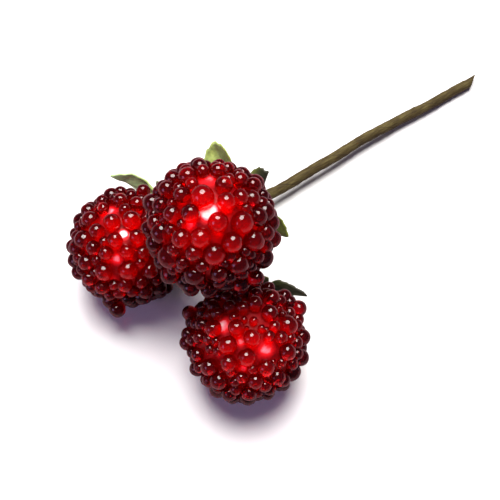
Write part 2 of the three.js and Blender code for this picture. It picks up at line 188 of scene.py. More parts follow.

# Each berry: its radius over the beads, the way that its wire leaves, and its pieces.
# seen: beads as the photo shows them, each with its place and its radius in photo pixels.
# bare: spots of open foam, each with its place and its radius in photo pixels, and how clean it is.
# sepals: turn about the wire in degrees, length in mm, bend per mm, fold, twist, painted shade (darker above
# 0, and paler below as painted light), and how full the half before its rib and the half after it are.
# route: where its wire goes between the calyx and the binding.
# wire_place: where its wire lies in the binding, in degrees round it.
BERRIES = {
    "middle": {
        "radius": 12.0 * MM,
        "seed": 11,
        "back": (0.635, 0.352, -0.691),
        "seen": (
            (199.5, 165.5, 8.5), (202.3, 168.8, 7.5), (218.8, 170.3, 8.7), (187.8, 176.3, 10.6),
            (186.5, 171.5, 8.5), (172.5, 179, 9), (224.2, 184.4, 9.4), (240.7, 179.6, 8.8),
            (240, 173, 7), (252.8, 186, 9.2), (252.5, 198, 8.8), (241.3, 196.6, 8.6),
            (226.5, 201.7, 9.6), (202.5, 197, 12.3), (181.5, 194.5, 8.8), (167.5, 189.5, 9.3),
            (163.5, 187, 8.5), (157.5, 190.5, 7.8), (153, 203.3, 11.2), (161.5, 206, 9.8),
            (172.5, 214.5, 9.8), (190.5, 213.5, 9.3), (218, 222.3, 11), (242.5, 222.5, 11.7),
            (257.5, 216.5, 10.2), (264.5, 212, 10.5), (263, 203, 7.8), (270.5, 222.5, 9.5),
            (154.5, 223, 8.8), (147.5, 228, 8.3), (161.5, 232.5, 11.3), (155, 243, 10),
            (181.5, 238.5, 10.2), (200.5, 237.5, 10.6), (232, 242.3, 10.4), (254, 240.3, 11),
            (265.5, 232.5, 9.3), (271.5, 238.3, 10.3), (262.8, 257.8, 11.2), (169.8, 256.3, 12.7),
            (193.3, 253.7, 8.5), (214.3, 254, 11), (238.5, 264, 10.6), (255.8, 278.5, 9.3),
            (162, 261, 9), (171.5, 270.5, 7.3), (170, 274.3, 10.3), (194.8, 274.5, 11.3),
            (219, 273.5, 9), (184, 281.5, 8.8), (190.3, 287.5, 9.2), (209, 289.5, 9.5),
            (229, 283.5, 9.2), (240.5, 284.5, 9.7), (230, 177, 7), (248, 254, 6), (150, 214, 6.5),
        ),
        "bare": ((209, 212, 9, 1.0), (189, 225, 6, 0.35), (209, 180, 8, 0.15)),
        "sepals": (
            (50, 13, 0.011, -0.9, -0.36, -0.2, 1.8, 2.8), (110, 9.6, 0.025, 0.2, -0.2, 1.0, 2.4, 0.6),
            (183, 11.3, 0.022, 0.42, 0.65, 0.35, 1.9, 0.93), (255, 12, 0.055, 0.4, -0.1, 0.3, 1.3, 1.3),
            (332, 14, 0.05, 0.5, 0.1, 0.1, 1.3, 1.3),
        ),
        "route": ((9.6, 7.2, 14.5), (9.2, 10.2, 8.8)),
        "wire_place": 90,
    },
    "left": {
        "radius": 11.85 * MM,
        "seed": 23,
        "back": (0.869, 0.348, -0.352),
        "seen": (
            (120.8, 201, 7.9), (112.3, 196, 9), (131.3, 194.5, 7), (136.8, 204, 8), (120, 191, 7),
            (102, 201, 7.3), (88.8, 211.5, 8.2), (90.5, 220.3, 9.4), (77.5, 225, 6.3), (82, 221, 6),
            (112, 222, 8.9), (131.5, 220, 9.3), (97, 231.5, 8.4), (83.8, 240, 9.8), (115, 240, 7.8),
            (137, 237, 7.9), (93, 248, 7.5), (76, 237, 6.8), (77.5, 247.5, 9), (127.3, 251.3, 7.3),
            (105.5, 253.5, 7.4), (143.5, 252.5, 6.6), (76.5, 257.5, 6.3), (87, 262.3, 8.6),
            (79.5, 271.8, 8), (104, 271.7, 9.2), (128, 269.8, 10), (150, 270.5, 8.2),
            (89, 278.3, 7.7), (91.5, 287.5, 7), (102.3, 287.3, 7.7), (125, 284.8, 7.5),
            (145, 291, 8.6), (112, 300.5, 8.6), (116, 311.3, 8.8), (128, 300, 7), (145.5, 299, 7),
            (160, 290, 8.5), (166, 288, 7.5), (143.5, 190.2, 7.4), (147, 218, 7),
        ),
        "bare": ((123.5, 234, 4.4, 1.0), (109, 211, 7, 0.08), (117, 259, 5, 0.25), (114, 279, 4, 0.1)),
        "sepals": (
            (26.5, 14.3, 0.053, 1.2, -0.43, -0.9, 1.27, 1.75), (78, 10.5, 0.05, 0.5, 0.1, 0.7, 1.3, 1.3),
            (150, 12, 0.05, 0.4, 0.0, 0.5, 1.3, 1.3), (230, 10.5, 0.08, 0.4, 0.0, 0.3, 1.3, 1.3),
            (298, 10.5, 0.08, 0.4, 0.1, 0.3, 1.3, 1.3),
        ),
        "route": ((3.0, 16.6, 6.0), (7.6, 13.4, 5.2)),
        "wire_place": 330,
    },
    "right": {
        "radius": 11.8 * MM,
        "seed": 37,
        "back": (0.582, 0.724, -0.372),
        "seen": (
            (269, 286.5, 7.3), (271.5, 298, 8.6), (285, 297, 8.2), (289.5, 302, 8), (298.5, 308.5, 8.5),
            (298, 318, 7.5), (283, 305, 4.5), (287, 312, 5), (270, 312.5, 8.2), (287.3, 325, 10.5),
            (301.5, 337, 9.5), (300, 357.5, 9.5), (287.5, 352, 8.8), (286, 364.5, 5),
            (277.5, 366, 3.6), (266.3, 367.5, 8.7), (278, 377.5, 8), (284, 381, 7.5), (284, 385, 7.5),
            (255.5, 381.3, 8.3), (265, 386.3, 7.5), (268, 394, 7.6), (249.5, 392.8, 8.8),
            (258, 396, 6), (241, 380.5, 6), (234.5, 385.8, 5.3), (229.5, 393, 8.7), (219, 380.5, 9.4),
            (209, 380.5, 8), (209.5, 367, 9), (196.5, 369, 8), (196, 355, 7.3), (189, 352, 6.5),
            (229, 363.5, 9), (246.7, 357.5, 9.5), (229.5, 374.5, 5.5), (227.7, 345, 9.5),
            (236.5, 328, 8.8), (252, 338, 9), (213, 328.5, 8.5), (202, 323.5, 8), (244, 316, 3.6),
            (254.7, 318.5, 4.8), (247, 325, 2.4), (264, 326.5, 4), (270.5, 327.5, 3), (271, 336, 6),
            (205, 339, 5.5), (212, 341.5, 4.6), (206, 350, 5), (215, 352, 5), (189.5, 314, 8.5),
            (200.5, 306, 7), (212, 305, 7), (216, 312.5, 7), (207, 314, 6.5), (229.5, 306, 7.5),
            (191, 321, 7.5), (188, 335, 8), (187, 342.5, 8.3), (243, 306, 7), (255, 303, 8),
        ),
        "bare": ((223, 327, 7, 0.3), (241, 342, 4, 0.2), (267, 348, 8, 0.0), (243, 369, 4, 0.0)),
        "sepals": (
            (34, 12, 0.06, 0.6, 0.2, 0.3, 1.3, 1.3), (100, 7.8, 0.08, 0.4, 0.0, 0.6, 1.3, 1.3),
            (165, 11.3, 0.036, -0.4, -0.65, 1.0, 0.72, 0.35), (240, 9, 0.08, 0.4, 0.1, 0.4, 1.3, 1.3),
            (312, 9.5, 0.08, 0.4, 0.0, 0.3, 1.3, 1.3),
        ),
        "route": ((6.2, -3.0, 4.7), (8.0, 4.0, 4.4), (9.2, 8.8, 4.7)),
        "wire_place": 210,
    },
}


def unit(vectors):
    """Vectors divided by their lengths, along the last axis."""
    vectors = np.asarray(vectors, float)
    return vectors / np.maximum(np.linalg.norm(vectors, axis=-1, keepdims=True), 1e-12)


def source_point(xyz):
    """A point of the source, in its millimetres, as a point of the frame."""
    return np.asarray(xyz, float) * MM + SOURCE_ORIGIN


def smooth(low, high, value):
    """The smooth step from 0 at low to 1 at high."""
    t = np.clip((value - low) / (high - low), 0, 1)
    return t * t * (3 - 2 * t)


def berry_centre(name):
    """The middle of a berry's core in the frame."""
    low, high = (np.array(corner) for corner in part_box("core_" + name))
    return (low + high) / 2


def wave_noise(points, scale, seed, waves=24):
    """Sum of sine waves in seeded random directions, about -1 to 1, with a wavelength near scale."""
    rng = np.random.default_rng(seed)
    heading = unit(rng.normal(size=(waves, 3)))
    pace = 2 * math.pi / scale * rng.uniform(0.6, 1.5, waves)
    phase = rng.uniform(0, 2 * math.pi, waves)
    return np.sin(points @ (heading * pace[:, None]).T + phase).sum(-1) / math.sqrt(waves)


def photo_ray(x, y):
    """Directions from the camera through photo pixels: the view's axes weighted by the pixel offsets."""
    x = np.asarray(x, float) - PHOTO_SIZE / 2
    y = PHOTO_SIZE / 2 - np.asarray(y, float)
    return unit(x[..., None] * VIEW_RIGHT + y[..., None] * VIEW_UP - PHOTO_FOCAL * VIEW_BACK)


def on_ball(pixels, centre, radius):
    """Where the rays through pixels first meet a ball, or pass nearest to its centre if they miss it."""
    rays = photo_ray(pixels[:, 0], pixels[:, 1])
    to_centre = centre - CAMERA_PLACE
    along = rays @ to_centre
    missed = to_centre @ to_centre - along ** 2
    half = np.sqrt(np.maximum(radius ** 2 - missed, 0))
    return CAMERA_PLACE + rays * (along - half)[:, None]


def photo_lengths(pixels, centre, radius):
    """Lengths on the near side of a berry from lengths in photo pixels: times the distance, over the
    focal length."""
    distance = np.linalg.norm(centre - CAMERA_PLACE) - NEAR_SIDE * radius
    return pixels * distance / PHOTO_FOCAL


def new_piece(name, points, face_blocks, nodes, finish, uv=None):
    """A smooth mesh piece from whole arrays, riding on the part's body in place of its nodes.
    The faces of one block have the same number of corners."""
    mesh = bpy.data.meshes.new(name)
    mesh.from_pydata(points.tolist(), [], [face for block in face_blocks for face in block.tolist()])
    mesh.validate()
    mesh.polygons.foreach_set("use_smooth", np.ones(len(mesh.polygons), bool))
    if uv is not None:
        layer = mesh.uv_layers.new(name="surface")
        corner = np.zeros(len(mesh.loops), np.int32)
        mesh.loops.foreach_get("vertex_index", corner)
        layer.data.foreach_set("uv", uv.astype(np.float32)[corner].ravel())
    mesh.update()
    piece = bpy.data.objects.new(name, mesh)
    bpy.context.scene.collection.objects.link(piece)
    piece.data.materials.append(finish)
    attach(piece, "root")
    if nodes:
        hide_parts(*nodes)
    return piece


def add_values(piece, name, values):
    """A number for each vertex, for the material to read."""
    attribute = piece.data.attributes.new(name, "FLOAT", "POINT")
    attribute.data.foreach_set("value", np.asarray(values, np.float32))


def add_subdivision(piece, levels):
    """Rounds a piece with the same levels in the view and in the render."""
    rounding = piece.modifiers.new("rounding", "SUBSURF")
    rounding.levels = levels
    rounding.render_levels = levels


def grid_faces(rows, columns):
    """Quads between neighbouring rows and columns of a grid, its columns closed on themselves."""
    row, column = np.meshgrid(np.arange(rows - 1), np.arange(columns), indexing="ij")
    after = (column + 1) % columns
    return np.stack([
        row * columns + column, row * columns + after,
        (row + 1) * columns + after, (row + 1) * columns + column,
    ], -1).reshape(-1, 4)


def fan(first, second, tip):
    """Triangles from the edges between two lists of points to one more point."""
    return np.stack([first, second, np.full(len(first), tip)], 1)


def curve_through(points, steps):
    """Centripetal Catmull-Rom curve through points, sampled at even distances.
    Between two points it blends lines whose pace is the square root of the distances."""
    p = np.asarray(points, float)
    p = np.vstack([2 * p[0] - p[1], p, 2 * p[-1] - p[-2]])
    t = np.linspace(0, 1, 24, endpoint=False)[:, None]
    parts = []
    for a, b, c, d in zip(p, p[1:], p[2:], p[3:]):
        ab, bc, cd = (max(np.linalg.norm(v - u), 1e-9) ** 0.5 for u, v in ((a, b), (b, c), (c, d)))
        start = ((b - a) / ab - (c - a) / (ab + bc) + (c - b) / bc) * bc
        end = ((c - b) / bc - (d - b) / (bc + cd) + (d - c) / cd) * bc
        parts.append(b + start * t + (3 * (c - b) - 2 * start - end) * t ** 2
                     + (2 * (b - c) + start + end) * t ** 3)
    fine = np.vstack(parts + [p[-2]])
    far = np.concatenate([[0], np.cumsum(np.linalg.norm(np.diff(fine, axis=0), axis=1))])
    even = np.linspace(0, far[-1], steps)
    return np.stack([np.interp(even, far, fine[:, k]) for k in range(3)], 1), even


def tube_grid(line, radii, up):
    """Rings round a line: its side and lift directions turned through a full circle, times the radii."""
    tangent = unit(np.gradient(line, axis=0))
    side = unit(np.cross(tangent, up))
    lift = np.cross(side, tangent)
    angle = np.linspace(0, 2 * math.pi, radii.shape[1], endpoint=False)[None, :, None]
    around = side[:, None] * np.cos(angle) + lift[:, None] * np.sin(angle)
    return line[:, None] + around * radii[..., None], around, tangent


def tape_turns(far, columns, pitch, phase):
    """A tube's map: the share of a turn round it, and the turns of tape up to each ring."""
    shape = (len(far), columns)
    round_share = np.arange(columns) / columns
    return np.stack([np.broadcast_to(round_share, shape),
                     np.broadcast_to((far / pitch + phase)[:, None], shape)], -1)


def tape_radii(far, columns, radius, pitch, step):
    """The radii over a spiral of tape: they rise evenly through each turn and drop at the tape's edge."""
    turn = tape_turns(far, columns, pitch, TAPE_PHASE).sum(-1) % 1
    rise = step * (smooth(0, 0.9, turn) - smooth(0.95, 1.0, turn) - 0.5)
    return radius[:, None] + rise


def closed_tube(name, rings, uv, nodes, finish):
    """A tube from its rings, each end closed by a fan to the middle of its last ring."""
    rows, columns = rings.shape[:2]
    points = np.vstack([rings.reshape(-1, 3), rings[0].mean(0), rings[-1].mean(0)])
    tube_uv = np.vstack([uv.reshape(-1, 2), uv[0].mean(0), uv[-1].mean(0)])
    first = np.arange(columns)
    after = (first + 1) % columns
    last = (rows - 1) * columns
    faces = [grid_faces(rows, columns), fan(after, first, rows * columns),
             fan(last + first, last + after, rows * columns + 1)]
    return new_piece(name, points, faces, nodes, finish, tube_uv)


class Nodes:
    """A short way to write a material's nodes."""

    def __init__(self, name):
        self.material = bpy.data.materials.new(name)
        self.material.use_nodes = True
        self.tree = self.material.node_tree
        self.tree.nodes.clear()
        self.output = self.add("ShaderNodeOutputMaterial")

    def add(self, kind, settings=None, **inputs):
        """A node with its settings. Inputs are named with _ for a space, or i and their number."""
        node = self.tree.nodes.new(kind)
        for key, value in (settings or {}).items():
            setattr(node, key, value)
        for key, value in inputs.items():
            numbered = key[0] == "i" and key[1:].isdigit()
            socket = node.inputs[int(key[1:]) if numbered else key.replace("_", " ")]
            if isinstance(value, bpy.types.NodeSocket):
                self.tree.links.new(value, socket)
            else:
                socket.default_value = value
        return node

    def ramp(self, value, *stops):
        """A colour ramp through stops of a place and a colour."""
        node = self.add("ShaderNodeValToRGB", Fac=value)
        elements = node.color_ramp.elements
        while len(elements) < len(stops):
            elements.new(0.5)
        for element, (place, colour) in zip(elements, stops):
            element.position = place
            element.color = (*colour, 1)
        return node.outputs["Color"]

    def math(self, operation, a, b=0.0):
        """An operation on two numbers."""
        return self.add("ShaderNodeMath", {"operation": operation}, i0=a, i1=b).outputs[0]

    def mix(self, factor, a, b):
        """The colour a, or b where the factor is 1."""
        return self.add("ShaderNodeMix", {"data_type": "RGBA"}, i0=factor, i6=a, i7=b).outputs[2]

    def noise(self, place, scale, detail, roughness=0.5):
        """Cloudy noise, 0 to 1, with the scale in repeats for a metre."""
        return self.add("ShaderNodeTexNoise", Vector=place, Scale=scale, Detail=detail,
                        Roughness=roughness).outputs["Fac"]

    def attribute(self, name):
        """The number that each point of the piece carries."""
        return self.add("ShaderNodeAttribute", {"attribute_name": name}).outputs["Fac"]

    def object_place(self):
        """The place on the piece, in metres."""
        return self.add("ShaderNodeTexCoord").outputs["Object"]

    def surface_map(self):
        """The two numbers of the piece's own map."""
        uv = self.add("ShaderNodeUVMap", {"uv_map": "surface"}).outputs[0]
        split = self.add("ShaderNodeSeparateXYZ", Vector=uv)
        return split.outputs[0], split.outputs[1]

    def finish(self, body):
        """The material, with a shader as its surface."""
        self.tree.links.new(body.outputs[0], self.output.inputs["Surface"])
        return self.material


def bead_glass(settings):
    """Clear ruby glass: refracting red, a shade lighter or darker from bead to bead, and painted lighter
    as a painted glow on the side away from the lamp. Lamps shine through it red, so that the foam under the
    beads is lit."""
    n = Nodes("ruby_glass")
    # The tone holds each bead's own tone and its painted glow; the brightest red stop is the painted glow
    colour = n.ramp(n.attribute("tone"), (0.0, (0.20, 0.001, 0.005)), (0.35, (0.40, 0.002, 0.006)),
                    (0.6, settings.glass), (1.0, (1.0, 0.010, 0.006)))
    body = n.add("ShaderNodeBsdfPrincipled", Base_Color=colour)
    body.inputs["Roughness"].default_value = settings.roughness
    body.inputs["IOR"].default_value = settings.ior
    body.inputs["Transmission Weight"].default_value = settings.body
    facing = n.add("ShaderNodeLayerWeight", Blend=0.5).outputs["Facing"]
    passed = n.ramp(facing, (0.1, settings.shine_through), (0.85, (0.06, 0.002, 0.006)))
    path = n.add("ShaderNodeLightPath")
    far = n.add("ShaderNodeMapRange", Value=path.outputs["Ray Length"])
    far.inputs["From Min"].default_value = settings.focus
    far.inputs["From Max"].default_value = settings.focus * 2
    spread = n.mix(far.outputs[0], passed, (0.10, 0.05, 0.07, 1))
    clear = n.add("ShaderNodeBsdfTransparent", Color=spread)
    return n.finish(n.add("ShaderNodeMixShader", i0=path.outputs["Is Shadow Ray"], i1=body.outputs[0],
                          i2=clear.outputs[0]))


def stained_foam(settings):
    """White foam, stained pink and red by the coloured glue away from the bare spots, and dark red further
    out as painted shade under the beads.
    """
    n = Nodes("stained_foam")
    place = n.object_place()
    cloud = n.noise(place, STAIN_CLOUDS, 4.0)
    amount = n.math("ADD", n.attribute("stain"), n.math("MULTIPLY", n.math("SUBTRACT", cloud, 0.5), 0.5))
    # The dark red stops at the top stand for painted shade under the beads
    colour = n.ramp(amount, (0.0, settings.foam), (0.2, settings.blush), (0.36, settings.stain),
                    (0.6, (0.50, 0.004, 0.008)), (0.85, (0.22, 0.002, 0.004)))
    grain = n.add("ShaderNodeTexVoronoi", Vector=place, Scale=FOAM_GRAIN).outputs["Distance"]
    bump = n.add("ShaderNodeBump", Strength=0.5, Distance=0.1 * MM, Height=grain)
    body = n.add("ShaderNodeBsdfPrincipled", Base_Color=colour, Normal=bump.outputs[0])
    body.inputs["Roughness"].default_value = 0.45
    body.inputs["Specular IOR Level"].default_value = 0.1
    return n.finish(body)


def leaf_cloth(settings):
    """Stiffened cloth: mottled green, paler veins, a fine plain weave, and painted shade and painted light
    for each
    sepal: darker where it lies in shade and paler where it lies in light. The veins are waves that slant
    away from the rib."""
    n = Nodes("leaf_cloth")
    place = n.object_place()
    across, out = n.surface_map()
    tone = n.math("ADD", n.math("MULTIPLY", n.noise(place, LEAF_MOTTLE, 5.0, 0.6), 0.75),
                  n.math("MULTIPLY", n.noise(place, LEAF_SPECKS, 2.0), 0.25))
    green = n.ramp(tone, (0.32, settings.leaf_dark), (0.5, settings.leaf), (0.68, settings.leaf_light))
    off_rib = n.math("ABSOLUTE", n.math("SUBTRACT", across, 0.5))
    rib = n.math("LESS_THAN", off_rib, RIB_HALF_WIDTH)
    slanted = n.math("SUBTRACT", out, n.math("MULTIPLY", off_rib, VEIN_SLANT))
    wave = n.math("SINE", n.math("MULTIPLY", slanted, VEIN_WAVES))
    vein = n.math("GREATER_THAN", wave, VEIN_LEVEL)
    veins = n.math("MAXIMUM", rib, n.math("MULTIPLY", vein, 0.6))
    veined = n.mix(n.math("MULTIPLY", veins, 0.35), green, (0.42, 0.50, 0.16, 1))
    # Painted shade darkens a sepal towards the dark sepal colour, painted light makes it paler
    shade = n.attribute("shade")
    darker = n.mix(n.math("MAXIMUM", shade, 0.0), veined, (*settings.shaded, 1))
    painted_paleness = n.math("MAXIMUM", n.math("MULTIPLY", shade, -1.0), 0.0)
    colour = n.mix(painted_paleness, darker, (*settings.pale, 1))
    warp, weft = (n.add("ShaderNodeTexWave", {"bands_direction": way}, Vector=place, Scale=LEAF_WEAVE,
                        Distortion=0.6).outputs["Fac"] for way in ("X", "Z"))
    height = n.math("SUBTRACT", n.math("MULTIPLY", n.math("ADD", warp, weft), 0.5),
                    n.math("MULTIPLY", veins, 0.8))
    bump = n.add("ShaderNodeBump", Strength=0.5, Distance=0.08 * MM, Height=height)
    body = n.add("ShaderNodeBsdfPrincipled", Base_Color=colour, Normal=bump.outputs[0])
    body.inputs["Roughness"].default_value = 0.62
    body.inputs["Sheen Weight"].default_value = 0.08
    body.inputs["Sheen Roughness"].default_value = 0.5
    return n.finish(body)


def paper_tape(name, dark, middle, light):
    """Crepe paper tape: streaks and fine wrinkles along it, darker where each turn ends."""
    n = Nodes(name)
    round_share, turns = n.surface_map()
    place = n.object_place()
    turn = n.math("FRACT", n.math("ADD", round_share, turns))
    streaks = n.add("ShaderNodeMapping", Vector=place, Scale=(0.12, 1.0, 1.0))
    fibre = n.noise(streaks.outputs[0], TAPE_FIBRES, 3.0)
    cloud = n.noise(place, TAPE_CLOUDS, 3.0)
    tone = n.math("ADD", n.math("MULTIPLY", fibre, 0.55), n.math("MULTIPLY", cloud, 0.45))
    colour = n.ramp(tone, (0.34, dark), (0.5, middle), (0.68, light))
    edge = n.math("GREATER_THAN", turn, TAPE_EDGE)
    shaded = n.mix(n.math("MULTIPLY", edge, 0.55), colour, (*(part * 0.35 for part in dark), 1))
    wrinkle = n.noise(place, TAPE_WRINKLES, 2.0)
    bump = n.add("ShaderNodeBump", Strength=0.6, Distance=0.06 * MM, Height=n.math("ADD", wrinkle, fibre))
    body = n.add("ShaderNodeBsdfPrincipled", Base_Color=shaded, Normal=bump.outputs[0])
    body.inputs["Roughness"].default_value = 0.75
    body.inputs["Specular IOR Level"].default_value = 0.2
    return n.finish(body)


def round_cage():
    """A ball of 24 quads: a cube's faces halved both ways, its 26 points pushed out to a sphere."""
    grid = np.array([(x, y, z) for x in (-1, 0, 1) for y in (-1, 0, 1) for z in (-1, 0, 1)
                     if (x, y, z) != (0, 0, 0)], float)
    place = {tuple(int(v) for v in p): i for i, p in enumerate(grid)}
    faces = []
    for axis in range(3):
        u, v = (axis + 1) % 3, (axis + 2) % 3
        for side in (-1, 1):
            for a in (-1, 0):
                for b in (-1, 0):
                    quad = []
                    for da, db in ((0, 0), (1, 0), (1, 1), (0, 1)):
                        point = [0, 0, 0]
                        point[axis], point[u], point[v] = side, a + da, b + db
                        quad.append(place[tuple(point)])
                    faces.append(quad if side > 0 else quad[::-1])
    return unit(grid), np.array(faces)


def balls(centres, radii, turns):
    """Points and quads of many balls, each a slightly oval, turned copy of the round cage.
    Of a ball's seven turn numbers three widen it, three are its axis and one is its angle."""
    cage, quads = round_cage()
    shaped = cage[None] * (1 + turns[:, :3] * BEAD_OVAL)[:, None]
    axis = unit(turns[:, 3:6])[:, None]
    angle = turns[:, 6:7] * math.pi
    cos, sin = np.cos(angle)[:, None], np.sin(angle)[:, None]
    turned = (shaped * cos + np.cross(np.broadcast_to(axis, shaped.shape), shaped) * sin
              + axis * (shaped * axis).sum(-1, keepdims=True) * (1 - cos))
    points = centres[:, None] + turned * (CAGE_SWELL * radii)[:, None, None]
    faces = quads[None] + (np.arange(len(centres)) * len(cage))[:, None, None]
    return points.reshape(-1, 3), faces.reshape(-1, 4)


def fill_gaps(ways, radii, spot_ways, spot_reach, radius, settings, rng):
    """Ways and radii of smaller beads for the gaps, the widest gap first. A filler is as large as its
    gap allows, and keeps off the bare spots."""
    tries = unit(rng.normal(size=(FILLER_TRIES, 3)))
    deep = radius - settings.core_depth + settings.filler_smallest
    kept_off = radii[None] * settings.filler_overlap
    room = (np.linalg.norm(tries[:, None] - ways[None], axis=-1) * deep - kept_off).min(1)
    bare = (np.linalg.norm(tries[:, None] - spot_ways[None], axis=-1) - spot_reach[None]).min(1) * deep
    room = np.minimum(room, bare)
    added, sizes = [], []
    for _ in range(settings.fillers):
        best = int(np.argmax(room))
        if room[best] < settings.filler_smallest:
            break
        size = min(room[best], settings.filler_largest)
        added.append(tries[best])
        sizes.append(size)
        apart = np.linalg.norm(tries - tries[best], axis=-1) * deep - size * settings.filler_overlap
        room = np.minimum(room, apart)
    return np.array(added).reshape(-1, 3), np.array(sizes)


def settle_beads(name, berry, settings):
    """Places and radii of a berry's beads. The beads that the photo shows stand where it shows them.
    The rest are strewn at random over the far side, and all push their neighbours until they settle."""
    rng = np.random.default_rng(berry["seed"])
    centre = berry_centre(name)
    radius = berry["radius"]
    seen = np.array(berry["seen"])
    held = len(seen)
    seen_radii = photo_lengths(seen[:, 2], centre, radius)
    seen_places = on_ball(seen, centre, radius - seen_radii)
    seen_out = np.linalg.norm(seen_places - centre, axis=1)
    total = settings.count
    free = total - held
    free_radii = rng.uniform(settings.smallest, settings.largest, free)
    to_camera = unit(CAMERA_PLACE - centre)
    strewn = unit(rng.normal(size=(40 * free, 3)))
    strewn = strewn[strewn @ to_camera < FAR_SIDE][:free]
    ways = np.vstack([unit(seen_places - centre), strewn])
    anchors = ways[:held].copy()
    radii = np.concatenate([seen_radii, free_radii])
    is_free = (np.arange(total) >= held)[:, None]
    loose = np.where(is_free, 1.0, SEEN_LOOSENESS)
    spots = np.array(berry["bare"])
    spot_ways = np.vstack([unit(on_ball(spots, centre, radius) - centre), unit(berry["back"])])
    spot_reach = np.append(photo_lengths(spots[:, 2], centre, radius) / radius, WIRE_HOLE_ANGLE)
    reach = settings.spread * (radii[:, None] + radii[None]) / (radius - BEAD_LAYER)
    for _ in range(settings.rounds):
        apart = ways[:, None] - ways[None]
        gap = np.linalg.norm(apart, axis=-1) + np.eye(total)
        push = np.where(gap < reach, (reach - gap) / gap, 0) * (1 - np.eye(total))
        move = BEAD_PUSH * (apart * push[..., None]).sum(1)
        away = ways[:, None] - spot_ways[None]
        gap = np.linalg.norm(away, axis=-1)
        need = spot_reach[None] + radii[:, None] / radius
        push = np.where(gap < need, (need - gap) / gap, 0) * is_free
        move += BARE_PUSH * (away * push[..., None]).sum(1)
        ways = unit(ways + move * loose)
        ways[:held] = unit((1 - SEEN_HOLD) * ways[:held] + SEEN_HOLD * anchors)
    filler_ways, filler_radii = fill_gaps(ways, radii, spot_ways, FILLER_BARE_REACH * spot_reach,
                                          radius, settings, rng)
    ways = np.vstack([ways, filler_ways])
    radii = np.concatenate([radii, filler_radii])
    core = radius - settings.core_depth
    out = np.minimum(radius - radii, core + settings.perch * radii)
    out[:held] += np.clip(seen_out - (radius - seen_radii), 0, SEEN_STAND_OUT)
    places = centre + ways * out[:, None]
    places[:, 2] += np.maximum(radii - places[:, 2], 0)
    tone = np.clip(rng.normal(0.5, TONE_SPREAD, len(ways)), 0, 1)
    return centre, places, radii, tone, rng


def bead_tone_and_glow(name, berry, points, places, tone):
    """How light the glass is painted at each point, 0 to 1: the bead's own tone and a painted glow. The glow
    is lightest low down, on the side away from the lamp, and the more so the nearer the bead is to a bare
    spot."""
    centre = berry_centre(name)
    spots = np.array(berry["bare"])
    spot_ways = unit(on_ball(spots, centre, berry["radius"]) - centre)
    # Painted glow: stronger near a bare spot, and on the side away from the lamp
    near = np.arccos(np.clip(unit(places - centre) @ spot_ways.T, -1, 1)).min(1)
    lit = 1 - smooth(PAINTED_GLOW_NEAR, PAINTED_GLOW_FAR, near)
    way = unit(points.reshape(len(places), -1, 3) - places[:, None])
    side = smooth(-0.2, 0.85, way @ unit(PAINTED_GLOW_SIDE))
    own = TONE_OWN * (tone[:, None] - 0.5)
    value = TONE_LEAST + own + (PAINTED_GLOW_LEAST + PAINTED_GLOW_BY_BARE * lit[:, None]) * side
    return np.clip(value, 0, 1).ravel()


def strew_drops(berry, centre, places, radii, settings, rng):
    """Middles and radii of glue drops, strewn at random just over the foam. Those in a bead, in the
    wire's hole or in a bare spot are left out."""
    ways = unit(rng.normal(size=(settings.drops, 3)))
    small = rng.uniform(DROP_SMALLEST, DROP_LARGEST, settings.drops) * MM
    core = berry["radius"] - settings.core_depth
    spots = centre + ways * (core + DROP_LOWEST + DROP_RANGE * rng.random(settings.drops)[:, None])
    gap = np.linalg.norm(spots[:, None] - places[None], axis=-1) - radii[None]
    clear = (gap.min(1) > -DROP_SINK) & (ways @ unit(berry["back"]) < math.cos(WIRE_HOLE_ANGLE))
    bare_ways = unit(on_ball(np.array(berry["bare"]), centre, core) - centre)
    clear &= (ways @ bare_ways.T).max(1) < math.cos(BARE_CLEAR_ANGLE)
    return spots[clear], small[clear]


def foam_surface(berry, centre, core):
    """A lumpy ball as rings between its two poles: its directions times the core's radius and a little
    noise. Returns its directions, points and faces."""
    down = np.linspace(0, math.pi, FOAM_ROWS)[1:-1, None]
    turn = np.linspace(0, 2 * math.pi, FOAM_COLUMNS, endpoint=False)[None]
    ways = np.stack([np.sin(down) * np.cos(turn), np.sin(down) * np.sin(turn),
                     np.cos(down) * np.ones_like(turn)], -1).reshape(-1, 3)
    top, bottom = len(ways), len(ways) + 1
    ways = np.vstack([ways, [0, 0, 1], [0, 0, -1]])
    lumps = sum(height * wave_noise(ways * core, wavelength, berry["seed"] + i)
                for i, (height, wavelength) in enumerate(FOAM_LUMPS))
    first = np.arange(FOAM_COLUMNS)
    after = (first + 1) % FOAM_COLUMNS
    last = (FOAM_ROWS - 3) * FOAM_COLUMNS
    faces = [grid_faces(FOAM_ROWS - 2, FOAM_COLUMNS)[:, ::-1], fan(first, after, top),
             fan(last + after, last + first, bottom)]
    return ways, centre + ways * (core + lumps[:, None] * MM), faces


def foam_stain_and_shade(berry, centre, core, ways):
    """How stained the foam is at each of its directions, 0 to 1, its high end being painted shade under the
    beads: least in the middle of a bare spot, with slow waves over it, and taken back to white in the clean
    spots."""
    spots = np.array(berry["bare"])
    spot_ways = unit(on_ball(spots, centre, core) - centre)
    reach = photo_lengths(spots[:, 2], centre, berry["radius"]) / core
    near = np.arccos(np.clip(ways @ spot_ways.T, -1, 1)) / reach[None]
    # Rising away from a bare spot, towards the painted shade under the beads
    stain = STAIN_LEAST + STAIN_MORE * smooth(*STAIN_RISE, near.min(1))
    clean = (spots[:, 3] * (1 - smooth(*CLEAN_FADE, near))).max(1)
    waves = STAIN_WAVES * wave_noise(ways * core, STAIN_WAVELENGTH, berry["seed"] + 2)
    return np.clip((stain + waves) * (1 - clean), 0, 1)


